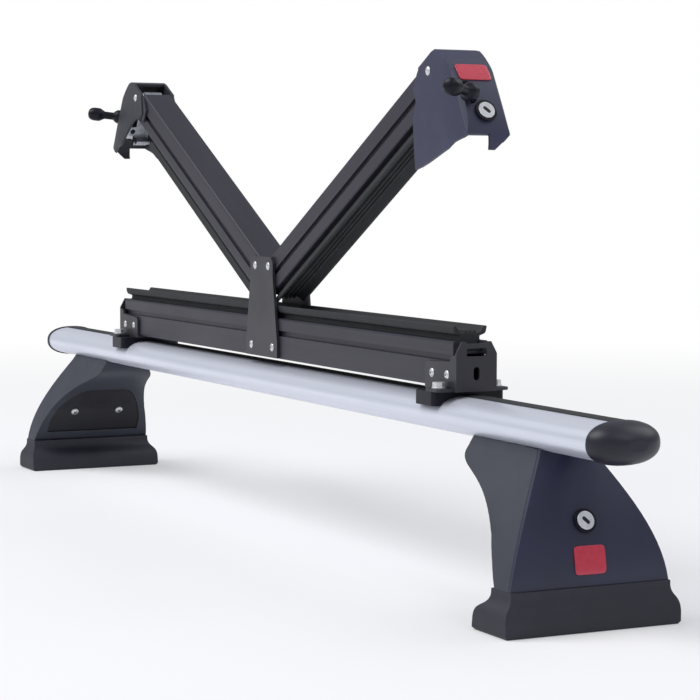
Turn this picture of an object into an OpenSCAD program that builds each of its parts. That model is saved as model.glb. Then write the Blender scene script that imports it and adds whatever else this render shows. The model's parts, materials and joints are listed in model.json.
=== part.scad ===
// Roof ski carrier: an aero roof bar on two locking feet, with one V-arm ski clamp on it.
// Millimetres. +X runs along the bar, -Y is the front and +Z is up. The origin lies under
// the middle of the bar, on the plane that the feet stand on. "near" is the +X end.

/* [Crossbar] */
// Length of the aluminium bar without its end caps
bar_l = 1100; // [1060:1:1240]
// Depth of the bar, front to back
bar_d = 54; // [50:0.5:80]
// Height of the bar
bar_h = 28.5; // [27:0.5:31]
// Height of the bar's axis above the plane that the feet stand on
bar_z = 134; // [128:1:150]
// Wall of the bar
bar_wall = 2.2; // [1.8:0.1:2.6]
// Width of the mouth of the bar's two slots
slot_mouth = 10.5; // [9:0.5:12]
// Width of the slots inside
slot_w = 20; // [17:0.5:22]
// Height of the slots inside
slot_h = 6.5; // [6:0.5:7.5]
// Thickness of the slots' lips
slot_lip = 2.2; // [2:0.1:2.6]
// Length of an end cap outside the bar
cap_l = 22; // [16:1:40]
// Width of the slot strips' lips
strip_w = 13; // [12:0.5:16]
// How far the slot strips stand proud of the bar
strip_rise = 0.8; // [0.4:0.1:0.9]
// How far the rim of an end cap stands proud of the bar
cap_rim = 1.2; // [0.6:0.1:2]
// Reach of an end cap's tongues into the bar
cap_plug = 18; // [10:1:25]

/* [Feet] */
// Distance from the middle of the bar to a foot's inner nose
foot_x = 386; // [380:1:420]
// Length of a foot under the bar
foot_top_l = 94; // [80:1:98]
// How much further out a foot's outer face stands at its seam
foot_lean = 35; // [25:1:40]
// Thickness of a foot along the bar at its seam
foot_seam_l = 30; // [26:1:38]
// Depth of a foot, front to back, under the bar
foot_top_d = 38; // [36:1:60]
// Depth of a foot, front to back, at its seam
foot_seam_d = 128; // [110:1:140]
// Height of the rubber pad that a foot stands on
pad_h = 31; // [24:1:36]
// How far the pad flares beyond the foot, front and rear
pad_flare = 7; // [3:0.5:10]
// How far the pad flares beyond the foot, towards the middle of the bar
pad_toe = 15; // [8:1:20]
// Wall of a foot's tower
foot_wall = 3; // [2.4:0.1:4]
// Thickness of the deck under the bar
deck_t = 14; // [12:0.5:18]
// Thickness of the lockable outer cover
cover_t = 3; // [2.4:0.1:3.6]
// Depth of the recess that the inner panel lies in
panel_recess = 1.6; // [1:0.1:2.5]
// Thickness of the inner panel
panel_t = 2.4; // [2:0.1:3]
// Height of the inner panel above the seam
panel_h = 57; // [50:1:60]
// Distance from the seam up to the inner panel's screws
panel_screw_h = 31; // [26:1:38]
// Half the distance between the inner panel's screws
panel_screw_y = 25; // [18:1:30]
// Height of a foot's lock above its seam
foot_lock_h = 44; // [36:1:52]
// Diameter of the clamping bolts' shanks in the feet
foot_bolt_d = 6; // [5:0.5:8]

/* [Ski rail] */
// Length of the lower ski rail
rail_l = 690; // [660:1:700]
// Width of the rail
rail_w = 30; // [28:0.5:34]
// Height of the rail without its rubber
rail_h = 35.5; // [34:0.5:38]
// Wall of the rail and the arms
rail_wall = 2.2; // [1.8:0.1:2.6]
// Depth of the groove along each side of the rail and the arms
groove_d = 2.8; // [1.4:0.1:2.8]
// Height of that groove
groove_h = 4.8; // [3:0.1:5]
// Distance from that groove to the rubber's face
groove_from_face = 10.6; // [10.4:0.1:12]
// Height of the rubber on the rail
rail_rubber_h = 11; // [9:0.5:12]
// Gap between the bar and the underside of the rail's bracket
saddle_t = 3.6; // [3:0.1:5]

/* [Brackets] */
// Thickness of the bent end brackets
end_t = 2.2; // [2:0.1:2.6]
// Gap between the end of the rail and the end plate
end_gap = 7; // [5:0.5:10]
// Height of the end plate above the bracket's floor
end_plate_h = 37.5; // [36:0.5:38.5]
// Length of the bracket along the rail
end_l = 48; // [44:1:56]
// Width of the end plate at its top
end_top_w = 25; // [23:0.5:28]
// Width of the latch slot in the end plate
keeper_w = 17; // [15.6:0.1:19]
// Height of the latch slot
keeper_h = 6; // [5.6:0.1:7]
// Distance from the latch slot's middle to the top of the end plate
keeper_down = 8; // [7:0.5:9]
// Distance between a bracket's ear bolts, front to rear
ear_bolt_gap = 48; // [46:1:54]
// Diameter of the rivets' heads
rivet_head = 7; // [6:0.5:9]
// Thickness of the centre plates
plate_t = 2.5; // [2:0.1:3]
// Width of a centre plate at its top
plate_top_w = 48; // [44:1:54]
// Width of a centre plate at its foot
plate_foot_w = 66; // [60:1:72]

/* [Arms] */
// Opening angle of both arms at rest
arm_open = 28.5; // [0:0.5:45]
// Half the distance between the two arm pivots
pivot_x = 13.8; // [13:0.1:18]
// Height of the pivots above the bar's axis
pivot_z = 100.5; // [100.5:0.5:105]
// Diameter of the pivot pins
pivot_d = 6; // [5:0.5:8]
// Height of an arm without its rubber
arm_h = 30; // [28:0.5:32]
// Distance from the pivot up to the top of the arm
arm_top = 8; // [7.5:0.1:9]
// How much shorter an arm is than half the rail, from its pivot to its end
arm_less = 24; // [23:1:27]
// Distance from the pivot to the inner end of the arm
arm_tail = 9; // [8:0.5:10]
// Height of the rubber under an arm
arm_rubber_h = 10; // [8:0.5:10.5]
// How far short of the arm's end its rubber stops
rubber_less = 35; // [33:1:61]

/* [Heads] */
// How far a head's outer face lies beyond its arm's end
head_l = 47; // [46:0.5:51]
// Depth of the head over its side walls
head_d = 44; // [43:0.5:48]
// Depth of the head's outer face
head_face_d = 36; // [32:0.5:38]
// Wall of the head
head_wall = 2.6; // [2.2:0.1:3]
// How far the head's tooth hangs below the pivot
tooth_drop = 84.5; // [80:0.5:84.5]
// Where the outer face ends on the side without the tooth, below the pivot
face_drop = 74; // [68:0.5:76]
// How far the latch's pin lies beyond the arm's end
latch_beyond = 12; // [10:0.5:13]
// How far the latch's pivot lies below the arm's pivot
latch_drop = 2; // [1:0.5:4]
// Width of the latch hook
latch_w = 14; // [12:0.5:14.4]
// Thickness of the latch hook's blade
latch_t = 5; // [4.5:0.1:5.2]
// Reach of the latch's nose
nose_l = 7.8; // [7.4:0.1:8]
// How far the knob lies below the arm's pivot
knob_drop = 44; // [40:1:45]
// Length of the knob from its collar to its tip
knob_l = 36; // [28:1:38]
// Lean of the knob towards the front
knob_lean = 60; // [40:1:62]
// Droop of the knob towards the head's tooth
knob_droop = 8; // [0:1:10]
// How far the head's lock lies below the arm's pivot
head_lock_drop = 57; // [55:0.5:58]

/* [Locks and fits] */
// Diameter of a lock barrel
barrel_d = 15; // [14:0.5:16]
// Diameter of a lock plug
plug_d = 11; // [10:0.5:12]
// Gap between pieces that are fixed to each other
fit = 0.2; // [0.1:0.05:0.3]
// Gap round a turning or running piece, on the radius
running = 0.05; // [0.02:0.01:0.09]
// Gap between pieces that move past each other
swing_gap = 0.3; // [0.25:0.05:0.5]

/* [Hidden] */
$fn = 48;
little = 0.01;
bar_top = bar_h / 2;
oval_power = 2.3;
saddle_top = bar_top + saddle_t;
rail_bottom = saddle_top + end_t;
rail_top = rail_bottom + rail_h;
arm_w = rail_w - 2 * swing_gap;
end_plate_x = rail_l / 2 + end_gap;
ear_l = 22;
saddle_low = 7;
ear_x = end_plate_x - ear_l / 2 - 1.5;
ear_w = ear_bolt_gap + 14;
flange_y = rail_w / 2 + fit;
seam_z = pad_h - bar_z;
foot_top_z = -bar_h * 0.345;
foot_out_top = foot_x + foot_top_l;
foot_out_seam = foot_out_top + foot_lean;
foot_in_seam = foot_out_seam - foot_seam_l;
foot_bolt_xs = [foot_x + 30, foot_x + 64];
channel_mouth = 14;
channel_w = 20;
channel_lip = 2.6;
channel_h = 5;
slot_bolt_x = end_plate_x - 24;
plate_rivet_x = 22.4;
plate_rivet_z = rail_bottom + 9.7;
end_rivet_z = rail_bottom + 9.9;
end_rivet_xs = [rail_l / 2 - 29.2, rail_l / 2 - 5.8];
arm_l = rail_l / 2 - arm_less;
arm_rubber_end = arm_l - rubber_less;
head_reach = arm_l + head_l;
latch_s = arm_l + latch_beyond;
head_in = arm_l - 33;
barrel_l = 9;
hub_r = 6;
blade_s = end_plate_x + end_t - pivot_x + 0.8;
keeper_z = saddle_top + end_plate_h - keeper_down;
nose_drop = pivot_z - keeper_z;

// A rounded oval: the bar's aero section
function oval(d, h, n = 56) = [for (i = [0:n - 1])
    let (a = 360 * i / n, c = cos(a), s = sin(a))
    [d / 2 * sign(c) * pow(abs(c), 2 / oval_power), h / 2 * sign(s) * pow(abs(s), 2 / oval_power)]];
// Height of the bar's surface at a distance from its middle
function oval_z(y) = bar_h / 2 * pow(1 - pow(abs(y) * 2 / bar_d, oval_power), 1 / oval_power);
// A rectangle with round corners, centred
function round_box(w, h, r, n = 5) = [for (q = [0:3], i = [0:n])
    let (a = 90 * q + 90 * i / n,
         cx = (q == 0 || q == 3 ? 1 : -1) * (w / 2 - r),
         cy = (q < 2 ? 1 : -1) * (h / 2 - r))
    [cx + r * cos(a), cy + r * sin(a)]];
// A cubic curve through its two end points
function curve(a, b, c, d, n = 10) = [for (i = [0:n])
    let (t = i / n, u = 1 - t) u * u * u * a + 3 * u * u * t * b + 3 * u * t * t * c + t * t * t * d];
function reversed(path) = [for (i = [len(path) - 1:-1:0]) path[i]];
function mirrored(path) = [for (p = reversed(path)) [-p[0], p[1]]];
function unit(v) = v / norm(v);
// The path moved sideways, to the right of its direction
function shifted(path, t) = [for (i = [0:len(path) - 1])
    let (d = unit(path[min(i + 1, len(path) - 1)] - path[max(i - 1, 0)])) path[i] + t * [d[1], -d[0]]];
function band(path, t) = concat(path, reversed(shifted(path, t)));

// A closed skin over rings of equally many points
module loft(rings) {
    n = len(rings) - 1;
    k = len(rings[0]);
    polyhedron([for (r = rings) each r], concat(
        [[for (j = [0:k - 1]) j]],
        [for (i = [0:n - 1], j = [0:k - 1]) [i * k + j, (i + 1) * k + j, (i + 1) * k + (j + 1) % k]],
        [for (i = [0:n - 1], j = [0:k - 1]) [i * k + j, (i + 1) * k + (j + 1) % k, i * k + (j + 1) % k]],
        [[for (j = [k - 1:-1:0]) n * k + j]]), 4);
}
module along_x(l) rotate([90, 0, 90]) linear_extrude(l, center = true) children();
module along_y(w) rotate([90, 0, 0]) linear_extrude(w, center = true) children();
module at_bar() translate([0, 0, bar_z]) children();
module far_end() rotate([0, 0, 180]) children();
module y_pin(d, l) rotate([90, 0, 0]) cylinder(d = d, h = l, center = true);
module x_pin(d, l) rotate([0, 90, 0]) cylinder(d = d, h = l);
module hexagon(flats, h) cylinder(r = flats / 2 / cos(30), h = h, $fn = 6);

// Crossbar and what closes it
module slot_cut(gap = 0) {
    translate([-slot_mouth / 2 + gap, bar_top - slot_lip - little])
        square([slot_mouth - 2 * gap, slot_lip + 2]);
    translate([-slot_w / 2 + gap, bar_top - slot_lip - slot_h + gap])
        square([slot_w - 2 * gap, slot_h - 2 * gap]);
}
module chambers(gap = 0) {
    core = slot_w / 2 + bar_wall + gap;
    difference() {
        polygon(oval(bar_d - 2 * (bar_wall + gap), bar_h - 2 * (bar_wall + gap)));
        square([2 * core, bar_h], center = true);
    }
}
module crossbar() color([0.78, 0.8, 0.86]) at_bar() along_x(bar_l) difference() {
    polygon(oval(bar_d, bar_h));
    chambers();
    slot_cut();
    mirror([0, 1]) slot_cut();
    mid_h = bar_h - 2 * (slot_lip + slot_h + bar_wall);
    square([slot_w, mid_h], center = true);
}
module end_cap() color([0.1, 0.1, 0.12]) translate([bar_l / 2, 0, bar_z]) {
    loft([for (i = [0:8]) let (t = 0.97 * sin(90 * i / 8), k = sqrt(1 - t * t))
        [for (p = oval((bar_d + 2 * cap_rim) * k, (bar_h + 2 * cap_rim) * k, 40)) [cap_l * t / 0.97, p[0], p[1]]]]);
    translate([0.5 - cap_plug / 2, 0, 0]) along_x(cap_plug + 1) chambers(fit);
}
module slot_strip(x0, x1) color([0.13, 0.13, 0.14]) translate([(x0 + x1) / 2, 0, bar_z]) along_x(x1 - x0)
    intersection() {
        polygon(oval(bar_d + 2 * strip_rise, bar_h + 2 * strip_rise));
        union() {
            translate([-slot_mouth / 2 + fit, bar_top - slot_lip - 2])
                square([slot_mouth - 2 * fit, slot_lip + 4]);
            translate([-slot_w / 2 + fit, bar_top - slot_lip - 2.4])
                square([slot_w - 2 * fit, 2.2]);
            difference() {
                translate([-strip_w / 2, 0]) square([strip_w, bar_h]);
                polygon(oval(bar_d + fit, bar_h + fit));
            }
        }
    }
strip_in = slot_bolt_x + 16;
module slot_strip_near() slot_strip(strip_in, bar_l / 2 - fit);
module slot_strip_far() far_end() slot_strip_near();
module slot_strip_mid() slot_strip(-slot_bolt_x + 16, slot_bolt_x - 16);

// Feet. Heights are measured from the bar's axis, and u runs from 0 at the top to 1 at the seam.
function foot_z(u) = foot_top_z + (seam_z - foot_top_z) * u;
function foot_half_d(u) = foot_top_d / 2 + (foot_seam_d - foot_top_d) / 2 * (0.35 * u + 0.65 * sin(90 * u));
function foot_out(u) = foot_out_top + foot_lean * sin(90 * u);
function foot_u(z) = (z - foot_top_z) / (seam_z - foot_top_z);
foot_steps = [0:1 / 14:1.0001];
outer_path = [for (u = foot_steps) [foot_out(u), foot_z(u)]];
nose_z = foot_z(0.22);
inner_path = concat([[foot_x + 6, foot_top_z + 2], [foot_x + 1, foot_z(0.1)]],
    curve([foot_x, nose_z], [foot_x + 3, foot_z(0.45)], [foot_x + 50, foot_z(0.34)],
          [foot_in_seam - 25, foot_z(0.64)], 12),
    [[foot_in_seam - 12, foot_z(0.82)], [foot_in_seam, seam_z]]);
module foot_side(in_t, out_t, top) polygon(concat(
    [for (p = shifted(outer_path, out_t)) [p[0], min(p[1], top)]],
    reversed([for (p = shifted(inner_path, -in_t)) [p[0], min(p[1], top)]])));
module foot_front(inset) polygon(concat(
    [for (u = foot_steps) [foot_half_d(u) - inset, foot_z(u) + (u == 0 ? 2 : 0)]],
    reversed([for (u = foot_steps) [-foot_half_d(u) + inset, foot_z(u) + (u == 0 ? 2 : 0)]])));
module foot_solid(in_t, out_t, side_t, top) intersection() {
    along_y(foot_seam_d + 10) foot_side(in_t, out_t, top);
    translate([(foot_x + foot_out_seam) / 2, 0, 0]) along_x(300) foot_front(side_t);
}
module panel_arch(inset) {
    w = foot_seam_d / 2 - 13 - inset;
    top = seam_z + panel_h - inset;
    polygon(concat([[w, seam_z + 9 + inset]], curve([w, seam_z + 20], [w - 4, seam_z + panel_h * 0.7],
        [w * 0.6, top], [w * 0.35, top], 8), mirrored(curve([w, seam_z + 20],
        [w - 4, seam_z + panel_h * 0.7], [w * 0.6, top], [w * 0.35, top], 8)), [[-w, seam_z + 9 + inset]]));
}
inner_t = panel_recess + panel_t + foot_wall;
panel_u = foot_u(seam_z + panel_screw_h);
panel_tilt = atan2(foot_z(0.64) - foot_z(0.82), 13);
panel_at = foot_in_seam - 12 - (foot_z(0.82) - (seam_z + panel_screw_h)) * -13 / (foot_z(0.64) - foot_z(0.82));
module on_panel(y) translate([panel_at, y, seam_z + panel_screw_h]) rotate([0, -90 - (90 - panel_tilt), 0]) children();
module foot_tower() color([0.2, 0.2, 0.24]) at_bar() difference() {
    foot_solid(0, cover_t + fit, 0, 99);
    foot_solid(inner_t, cover_t + fit + foot_wall, foot_wall, foot_top_z - deck_t);
    translate([(foot_x + foot_out_seam) / 2, 0, 0]) along_x(200) polygon(oval(bar_d + 2 * fit, bar_h + 2 * fit));
    intersection() {
        along_y(foot_seam_d) polygon(band(shifted(inner_path, 1), -panel_recess - panel_t - 1 - fit));
        translate([foot_x + 60, 0, 0]) along_x(200) panel_arch(0);
    }
    for (x = foot_bolt_xs) translate([x, 0, -60]) cylinder(d = foot_bolt_d + 2 * fit, h = 60);
    for (y = [-1, 1]) on_panel(y * panel_screw_y) translate([0, 0, -12]) cylinder(d = 3.6, h = 14);
    on_foot_lock() translate([0, 0, -20]) cylinder(d = barrel_d + 2, h = 30);
    translate([foot_in_seam - 7, 0, seam_z + 18.5]) cube([70, foot_seam_d * 0.55, 15], center = true);
}
module foot_cover() color([0.16, 0.17, 0.25]) at_bar() difference() {
    intersection() {
        foot_solid(0, 0, 0, 99);
        along_y(foot_seam_d + 10) polygon(band(outer_path, cover_t));
    }
    translate([foot_out_top, 0, 0]) along_x(200) polygon(oval(bar_d + 2 * fit, bar_h + 2 * fit));
    on_foot_lock() translate([0, 0, -20]) cylinder(d = barrel_d + 2 * fit, h = 30);
}
module foot_pad() color([0.1, 0.1, 0.11]) at_bar() {
    bottom = -bar_z;
    half = foot_seam_d / 2;
    in_x = foot_in_seam;
    out_x = foot_out_seam;
    intersection() {
        along_y(foot_seam_d + 60) polygon(concat([[in_x - 1, seam_z]],
            curve([in_x - 1, seam_z - 5], [in_x - 3, seam_z - 14], [in_x - pad_toe, seam_z - 10],
                  [in_x - pad_toe, bottom + 9], 8),
            [[in_x - pad_toe, bottom + 2], [in_x - pad_toe + 2, bottom], [out_x + 5, bottom],
             [out_x + 6, bottom + 2]],
            curve([out_x + 6, bottom + 10], [out_x + 5, seam_z - 12], [out_x + 1, seam_z - 12],
                  [out_x + 1, seam_z], 6)));
        translate([in_x + 15, 0, 0]) along_x(120) polygon(let (side = concat(
            [[half + 0.5, seam_z]], curve([half + 0.5, seam_z - 4], [half + 1.5, seam_z - 12],
                [half + pad_flare, seam_z - 10], [half + pad_flare, bottom + 10], 8),
            [[half + pad_flare, bottom + 2], [half + pad_flare - 2, bottom]]))
            concat(side, mirrored(side)));
    }
}
module foot_panel() color([0.13, 0.13, 0.14]) at_bar() difference() {
    intersection() {
        along_y(foot_seam_d) polygon(band(shifted(inner_path, -panel_recess), -panel_t));
        translate([foot_x + 60, 0, 0]) along_x(200) panel_arch(fit);
    }
    for (y = [-1, 1]) on_panel(y * panel_screw_y) translate([0, 0, -12]) cylinder(d = 4.6, h = 16);
}
module panel_screw() translate([0, 0, fit - panel_recess]) {
    cylinder(d = 8, h = 1.4);
    translate([0, 0, 1.4]) intersection() {
        translate([0, 0, -5.8]) sphere(r = 7);
        cylinder(d = 8, h = 2);
    }
    translate([0, 0, -9]) cylinder(d = 3.4, h = 9);
}
module panel_screws() color([0.85, 0.85, 0.87]) at_bar() for (a = [0, 180], y = [-1, 1])
    rotate([0, 0, a]) on_panel(y * panel_screw_y) panel_screw();
module foot_bolts() color([0.75, 0.75, 0.77]) at_bar() for (a = [0, 180], x = foot_bolt_xs)
    rotate([0, 0, a]) translate([x, 0, 0]) {
        translate([0, 0, -bar_top + slot_lip + 2]) cube([14, slot_w - 2, 4], center = true);
        translate([0, 0, foot_top_z - deck_t - 9]) cylinder(d = foot_bolt_d, h = -foot_top_z + deck_t - 1);
    }
module foot_nuts() color([0.75, 0.75, 0.77]) at_bar() for (a = [0, 180], x = foot_bolt_xs)
    rotate([0, 0, a]) translate([x, 0, foot_top_z - deck_t - 5.2]) difference() {
        hexagon(10, 5);
        translate([0, 0, -1]) cylinder(d = foot_bolt_d + 2 * running, h = 7);
    }
foot_lock_u = foot_u(seam_z + foot_lock_h);
foot_lock_tilt = atan2(foot_lean * cos(90 * foot_lock_u) * PI / 2, foot_top_z - seam_z);
module on_foot_lock() translate([foot_out(foot_lock_u), 0, seam_z + foot_lock_h])
    rotate([0, 90 - foot_lock_tilt, 0]) children();

// A cam lock, its face at z = 0 and its body below
module barrel(l) difference() {
    union() {
        translate([0, 0, -l]) cylinder(d = barrel_d, h = l);
        cylinder(d = barrel_d + 2.4, h = 1.4);
    }
    translate([0, 0, -l - 1]) cylinder(r = plug_d / 2 + running, h = l + 4);
}
module plug(l, tongue_l) {
    difference() {
        translate([0, 0, -l - 0.3]) cylinder(d = plug_d, h = l + 1.2);
        translate([0, 0, 0.9]) cube([2, 7, 5], center = true);
    }
    translate([0, 0, -l - 2]) linear_extrude(1.7) polygon([for (p = round_box(7, tongue_l, 3)) p + [0, tongue_l / 2 - 4]]);
}
module foot_barrels() color([0.8, 0.8, 0.83]) at_bar() for (a = [0, 180])
    rotate([0, 0, a]) on_foot_lock() translate([0, 0, 0.4]) barrel(18);
module foot_plug() color([0.62, 0.62, 0.65]) at_bar() on_foot_lock() translate([0, 0, 0.4]) plug(18, 16);

// Rail and arm extrusions, with the rubber's face at the top and its middle at y = 0
module extrusion_section(w, h) {
    deep = channel_lip + channel_h;
    shoulder = h - groove_from_face - groove_h - rail_wall;
    difference() {
        translate([0, h / 2]) polygon(round_box(w, h, 2));
        for (side = [-1, 1])
            translate([side * w / 2, h - groove_from_face - groove_h / 2]) square([2 * groove_d, groove_h], center = true);
        translate([-channel_mouth / 2, h - channel_lip - little]) square([channel_mouth, channel_lip + 1]);
        translate([-channel_w / 2, h - deep]) square([channel_w, channel_h]);
        translate([-w / 2 + rail_wall, rail_wall]) square([w - 2 * rail_wall, shoulder - rail_wall]);
        translate([-channel_w / 2, shoulder - little]) square([channel_w, h - deep - rail_wall - shoulder]);
    }
}
// The rubber: a foot in the channel, a waist and two flared lips with ribs between them
module rubber_section(w, h) {
    lip = w / 2 - 0.6;
    side = [[channel_w / 2 - fit, -channel_lip - channel_h + fit], [channel_w / 2 - fit, -channel_lip - fit],
        [channel_mouth / 2 - fit, -channel_lip - fit], [channel_mouth / 2 - fit, 0], [lip - 5.4, 0],
        [lip - 6.2, h * 0.12], [lip - 6.2, h * 0.32], [lip - 1.8, h * 0.46], [lip - 0.8, h * 0.6],
        [lip, h - 0.8], [lip - 0.4, h], [lip - 2.4, h],
        [lip - 5.6, h * 0.58], [5.2, h * 0.5], [4.6, h * 0.72], [3.2, h * 0.72], [2.6, h * 0.5],
        [1.2, h * 0.5], [0.7, h * 0.72]];
    polygon(concat(side, mirrored(side)));
}
module ski_rail() color([0.17, 0.17, 0.19]) translate([0, 0, bar_z + rail_bottom]) difference() {
    along_x(rail_l) extrusion_section(rail_w, rail_h);
    for (s = [-1, 1]) {
        translate([s * slot_bolt_x, 0, -1]) cylinder(d = 6.6, h = rail_wall + 3);
        for (x = end_rivet_xs) translate([s * x, 0, end_rivet_z - rail_bottom]) y_pin(4.2, rail_w + 2);
        translate([s * plate_rivet_x, 0, plate_rivet_z - rail_bottom]) y_pin(4.2, rail_w + 2);
    }
}
module rail_rubber() color([0.09, 0.09, 0.09]) translate([0, 0, bar_z + rail_top])
    along_x(rail_l - 2) rubber_section(rail_w, rail_rubber_h);

// End brackets and how they are held to the bar
module end_plate_outline() difference() {
    foot_w = rail_w + 2 * (fit + end_t);
    h = end_plate_h;
    polygon([[-foot_w / 2, 0], [foot_w / 2, 0], [foot_w / 2, h - 9], [end_top_w / 2, h], [end_top_w / 2 - 3, h],
        [end_top_w / 2 - 5, h - 1.4], [-end_top_w / 2 + 5, h - 1.4], [-end_top_w / 2 + 3, h], [-end_top_w / 2, h],
        [-foot_w / 2, h - 9]]);
    translate([0, h - keeper_down]) polygon(round_box(keeper_w, keeper_h, 1.2));
    translate([0, h - 24]) polygon(round_box(5, 10, 2.4));
}
module end_bracket() color([0.14, 0.14, 0.16]) translate([0, 0, bar_z + saddle_top]) difference() {
    union() {
        translate([end_plate_x + end_t / 2, 0, 0]) along_x(end_t) end_plate_outline();
        translate([end_plate_x - end_l + 1, -flange_y - end_t, 0]) cube([end_l, 2 * (flange_y + end_t), end_t]);
        translate([ear_x, 0, 0]) linear_extrude(end_t) polygon(round_box(ear_l, ear_w, 4));
        for (s = [-1, 1]) translate([0, s * (flange_y + end_t / 2), 0]) along_y(end_t) polygon([
            [end_plate_x + 1, 0], [end_plate_x + 1, end_plate_h - 10], [end_plate_x - 6, end_plate_h - 11],
            [end_plate_x - 8, 22.5], [end_plate_x - end_l + 4, 20.5], [end_plate_x - end_l + 1, 17.5],
            [end_plate_x - end_l + 1, 0]]);
    }
    for (s = [-1, 1]) translate([ear_x, s * ear_bolt_gap / 2, -1]) cylinder(d = 6.4, h = 5);
    translate([slot_bolt_x, 0, -1]) cylinder(d = 6.6, h = 5);
    for (x = end_rivet_xs) translate([x, 0, end_rivet_z - saddle_top]) y_pin(4.2, rail_w + 12);
}
module saddle() color([0.08, 0.08, 0.09]) at_bar() difference() {
    translate([slot_bolt_x, 0, saddle_low]) linear_extrude(saddle_top - saddle_low) polygon(round_box(30, ear_w, 4));
    translate([slot_bolt_x, 0, 0]) along_x(60) polygon(oval(bar_d, bar_h));
    translate([slot_bolt_x, 0, 0]) cylinder(d = 6.6, h = 40);
    for (s = [-1, 1]) translate([ear_x, s * ear_bolt_gap / 2, 0]) cylinder(d = 5.2, h = 40);
}
module rivet(l, d = 4) {
    y_pin(d, l);
    for (s = [-1, 1]) translate([0, s * l / 2, 0]) rotate([-90 * s, 0, 0]) intersection() {
        cylinder(d = rivet_head, h = 3);
        translate([0, 0, -rivet_head * 0.62]) sphere(r = rivet_head * 0.8);
    }
}
// A blind rivet through the rail's wall and a plate: its head outside, its flared tail inside
module blind_rivet(x, s, z, plate) translate([x, s * (rail_w / 2 - rail_wall), z]) rotate([-90 * s, 0, 0]) {
    grip = rail_wall + plate;
    cylinder(d = 4, h = grip);
    translate([0, 0, grip]) intersection() {
        cylinder(d = rivet_head, h = 3);
        translate([0, 0, -rivet_head * 0.62]) sphere(r = rivet_head * 0.8);
    }
    translate([0, 0, -1.8]) cylinder(d = 5.6, h = 1.8);
}
module end_rivets() color([0.85, 0.85, 0.86]) at_bar() for (a = [-1, 1], s = [-1, 1], x = end_rivet_xs)
    blind_rivet(a * x, s, end_rivet_z, fit + end_t);
module ear_bolts() color([0.82, 0.82, 0.84]) at_bar() for (a = [-1, 1], s = [-1, 1])
    translate([a * ear_x, s * ear_bolt_gap / 2, saddle_top + end_t]) {
        cylinder(d = 11, h = 1.2);
        translate([0, 0, 1.2]) hexagon(8.6, 3.6);
        translate([0, 0, -6]) cylinder(d = 5, h = 6 + little);
    }
module slot_bolts() color([0.75, 0.75, 0.77]) at_bar() for (a = [-1, 1]) translate([a * slot_bolt_x, 0, 0]) {
    translate([0, 0, bar_top - slot_lip - 2 - fit]) cube([14, slot_w - 2, 4], center = true);
    translate([0, 0, bar_top - slot_lip - 4]) cylinder(d = 6, h = rail_bottom + rail_wall + 9 - bar_top + slot_lip + 4);
}
module slot_nuts() color([0.75, 0.75, 0.77]) at_bar() for (a = [-1, 1])
    translate([a * slot_bolt_x, 0, rail_bottom + rail_wall + fit]) difference() {
        union() {
            hexagon(10, 6);
            cylinder(d = 13, h = 1.2);
        }
        translate([0, 0, -1]) cylinder(d = 6 + 2 * running, h = 9);
    }

// Centre plates and pivots
module centre_plate(s) {
    top = pivot_z + 8;
    foot = rail_bottom + 0.6;
    color([0.2, 0.2, 0.22]) translate([0, s * (rail_w / 2 + plate_t / 2 + fit / 2), bar_z]) difference() {
        along_y(plate_t) polygon([[-plate_foot_w / 2, foot], [plate_foot_w / 2, foot],
            [plate_foot_w / 2, foot + 14], [plate_top_w / 2, top - 18], [plate_top_w / 2, top - 5],
            [plate_top_w / 2 - 5, top], [-plate_top_w / 2 + 5, top], [-plate_top_w / 2, top - 5],
            [-plate_top_w / 2, top - 18], [-plate_foot_w / 2, foot + 14]]);
        for (x = [-1, 1]) {
            translate([x * pivot_x, 0, pivot_z]) y_pin(pivot_d + 2 * running, 9);
            translate([x * plate_rivet_x, 0, plate_rivet_z]) y_pin(4.2, 9);
        }
    }
}
module centre_plate_front() centre_plate(-1);
module centre_plate_rear() centre_plate(1);
module plate_rivets() color([0.85, 0.85, 0.86]) at_bar() for (a = [-1, 1], s = [-1, 1])
    blind_rivet(a * plate_rivet_x, s, plate_rivet_z, fit / 2 + plate_t);
module pivot_pins() color([0.85, 0.85, 0.86]) at_bar() for (a = [-1, 1])
    translate([a * pivot_x, 0, pivot_z]) rivet(rail_w + fit + 2 * plate_t, pivot_d);

// Arms. Each is drawn level, pointing to +X from its pivot, then turned to its open angle.
module near_arm() translate([pivot_x, 0, bar_z + pivot_z]) rotate([0, -arm_open, 0]) children();
module far_arm() far_end() near_arm() children();
arm_face = arm_top - arm_h;
module arm() color([0.19, 0.19, 0.21]) difference() {
    translate([(arm_l - arm_tail) / 2, 0, arm_top]) mirror([0, 0, 1])
        along_x(arm_l + arm_tail) extrusion_section(arm_w, arm_h);
    y_pin(10 + 2 * running, arm_w + 2);
    translate([-arm_tail, 0, arm_top]) rotate([0, 45, 0]) cube([6, arm_w + 2, 6], center = true);
    translate([arm_l - 12, 0, -6]) y_pin(5 + 2 * running, arm_w + 2);
}
module arm_rubber() color([0.09, 0.09, 0.09])
    translate([(arm_rubber_end - arm_tail + 3) / 2, 0, arm_face]) mirror([0, 0, 1])
        along_x(arm_rubber_end + arm_tail - 3) rubber_section(arm_w, arm_rubber_h);
module arm_bush() color([0.85, 0.85, 0.8]) difference() {
    y_pin(10, arm_w);
    y_pin(pivot_d + 2 * running, arm_w + 2);
}

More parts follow.
